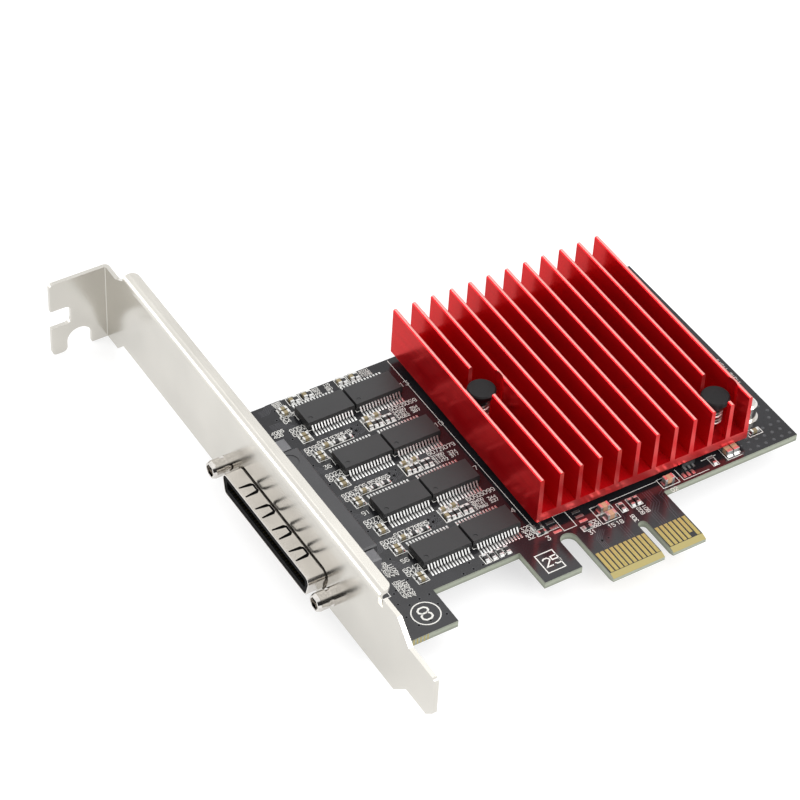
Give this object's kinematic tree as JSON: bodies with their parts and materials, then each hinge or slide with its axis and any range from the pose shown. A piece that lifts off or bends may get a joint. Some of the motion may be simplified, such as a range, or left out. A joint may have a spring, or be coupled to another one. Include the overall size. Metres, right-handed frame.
{
  "type": "serial port expansion card",
  "caption": "Low expansion card with a finned heat sink on sprung pins, rows of line driver chips, a wide dense port and a tall screw-tab bracket.",
  "frame": {"origin": "on the bracket's outer face, level with the bottom edge of the edge connector's tongue and with the board's component side", "axes": "+X from the bracket along the card to its far end, +Y up the bracket towards its screw tab, +Z out of the board's component side"},
  "size_m": [0.1089, 0.1201, 0.021],
  "materials": {
    "solder_mask": "satin solder mask over glass laminate",
    "bracket_steel": "satin nickel plate",
    "shell_steel": "nickel plated stamped steel",
    "jack_brass": "bright nickel plated turned brass",
    "housing_plastic": "moulded glass filled plastic",
    "insulator_plastic": "black moulded plastic",
    "lug_zinc": "dull cast metal",
    "contact_gold": "gold plated",
    "red_anodised": "red anodised extrusion",
    "pin_nylon": "black nylon",
    "spring_steel": "drawn spring wire",
    "chip_epoxy": "moulded epoxy",
    "lead_tin": "tin plated leads",
    "pad_silicone": "soft thermal pad",
    "crystal_can": "drawn nickel silver can",
    "ceramic_capacitor": "fired ceramic with tinned ends",
    "ceramic_resistor": "glazed film with tinned ends"
  },
  "bodies": {
    "root": {"board": "solder_mask", "bracket": "bracket_steel", "bulk_capacitors": "ceramic_capacitor", "controller_chip": "chip_epoxy", "controller_leads": "lead_tin", "crystal": "crystal_can", "driver_chip_1": "chip_epoxy", "driver_chip_2": "chip_epoxy", "driver_chip_3": "chip_epoxy", "driver_chip_4": "chip_epoxy", "driver_chip_5": "chip_epoxy", "driver_chip_6": "chip_epoxy", "driver_chip_7": "chip_epoxy", "driver_chip_8": "chip_epoxy", "driver_leads_1": "lead_tin", "driver_leads_2": "lead_tin", "driver_leads_3": "lead_tin", "driver_leads_4": "lead_tin", "driver_leads_5": "lead_tin", "driver_leads_6": "lead_tin", "driver_leads_7": "lead_tin", "driver_leads_8": "lead_tin", "edge_contacts_component_side": "contact_gold", "edge_contacts_solder_side": "contact_gold", "heatsink": "red_anodised", "jack_nuts": "jack_brass", "jack_post_lower": "jack_brass", "jack_post_upper": "jack_brass", "line_capacitors": "ceramic_capacitor", "line_resistors": "ceramic_resistor", "pin_spring_left": "spring_steel", "pin_spring_right": "spring_steel", "port_body": "housing_plastic", "port_contacts": "contact_gold", "port_insulator": "insulator_plastic", "port_lug_lower": "lug_zinc", "port_lug_upper": "lug_zinc", "port_pins": "lead_tin", "port_shell": "shell_steel", "push_pin_left": "pin_nylon", "push_pin_right": "pin_nylon", "regulator": "chip_epoxy", "regulator_leads": "lead_tin", "thermal_pad": "pad_silicone"}
  },
  "joints": []
}
